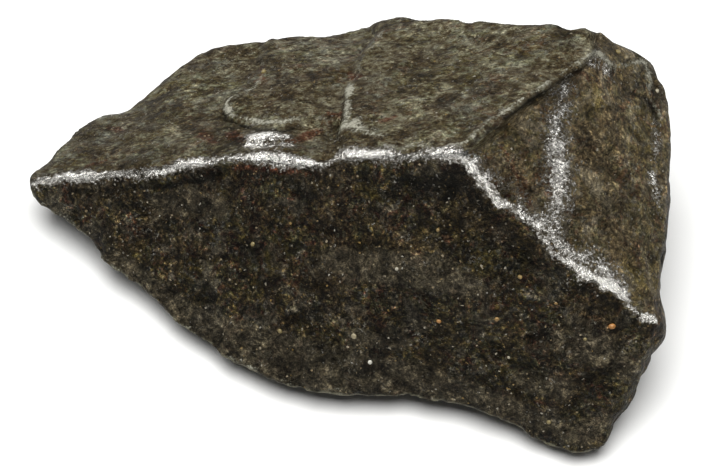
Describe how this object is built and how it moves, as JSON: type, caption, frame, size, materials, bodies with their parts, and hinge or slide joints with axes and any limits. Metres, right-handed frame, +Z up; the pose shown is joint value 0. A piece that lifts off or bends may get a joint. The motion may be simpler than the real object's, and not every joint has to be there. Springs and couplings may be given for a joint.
{
  "type": "iron meteorite",
  "caption": "Angular iron meteorite fragment: a long worn crest between a flaked top face and a steep pitted face, with a blunt end.",
  "frame": {"origin": "on the resting surface, under the middle of the bounding box", "axes": "+X along the length from the pointed tip to the blunt end, +Y from the pitted front to the back, +Z up"},
  "size_m": [0.0428, 0.0304, 0.0172],
  "materials": {
    "rusted_nickel_iron": "dark olive-brown rust skin over nickel-iron, rubbed bare and shiny along the crest and its fork"
  },
  "bodies": {
    "root": {"meteorite": "rusted_nickel_iron"}
  },
  "joints": []
}
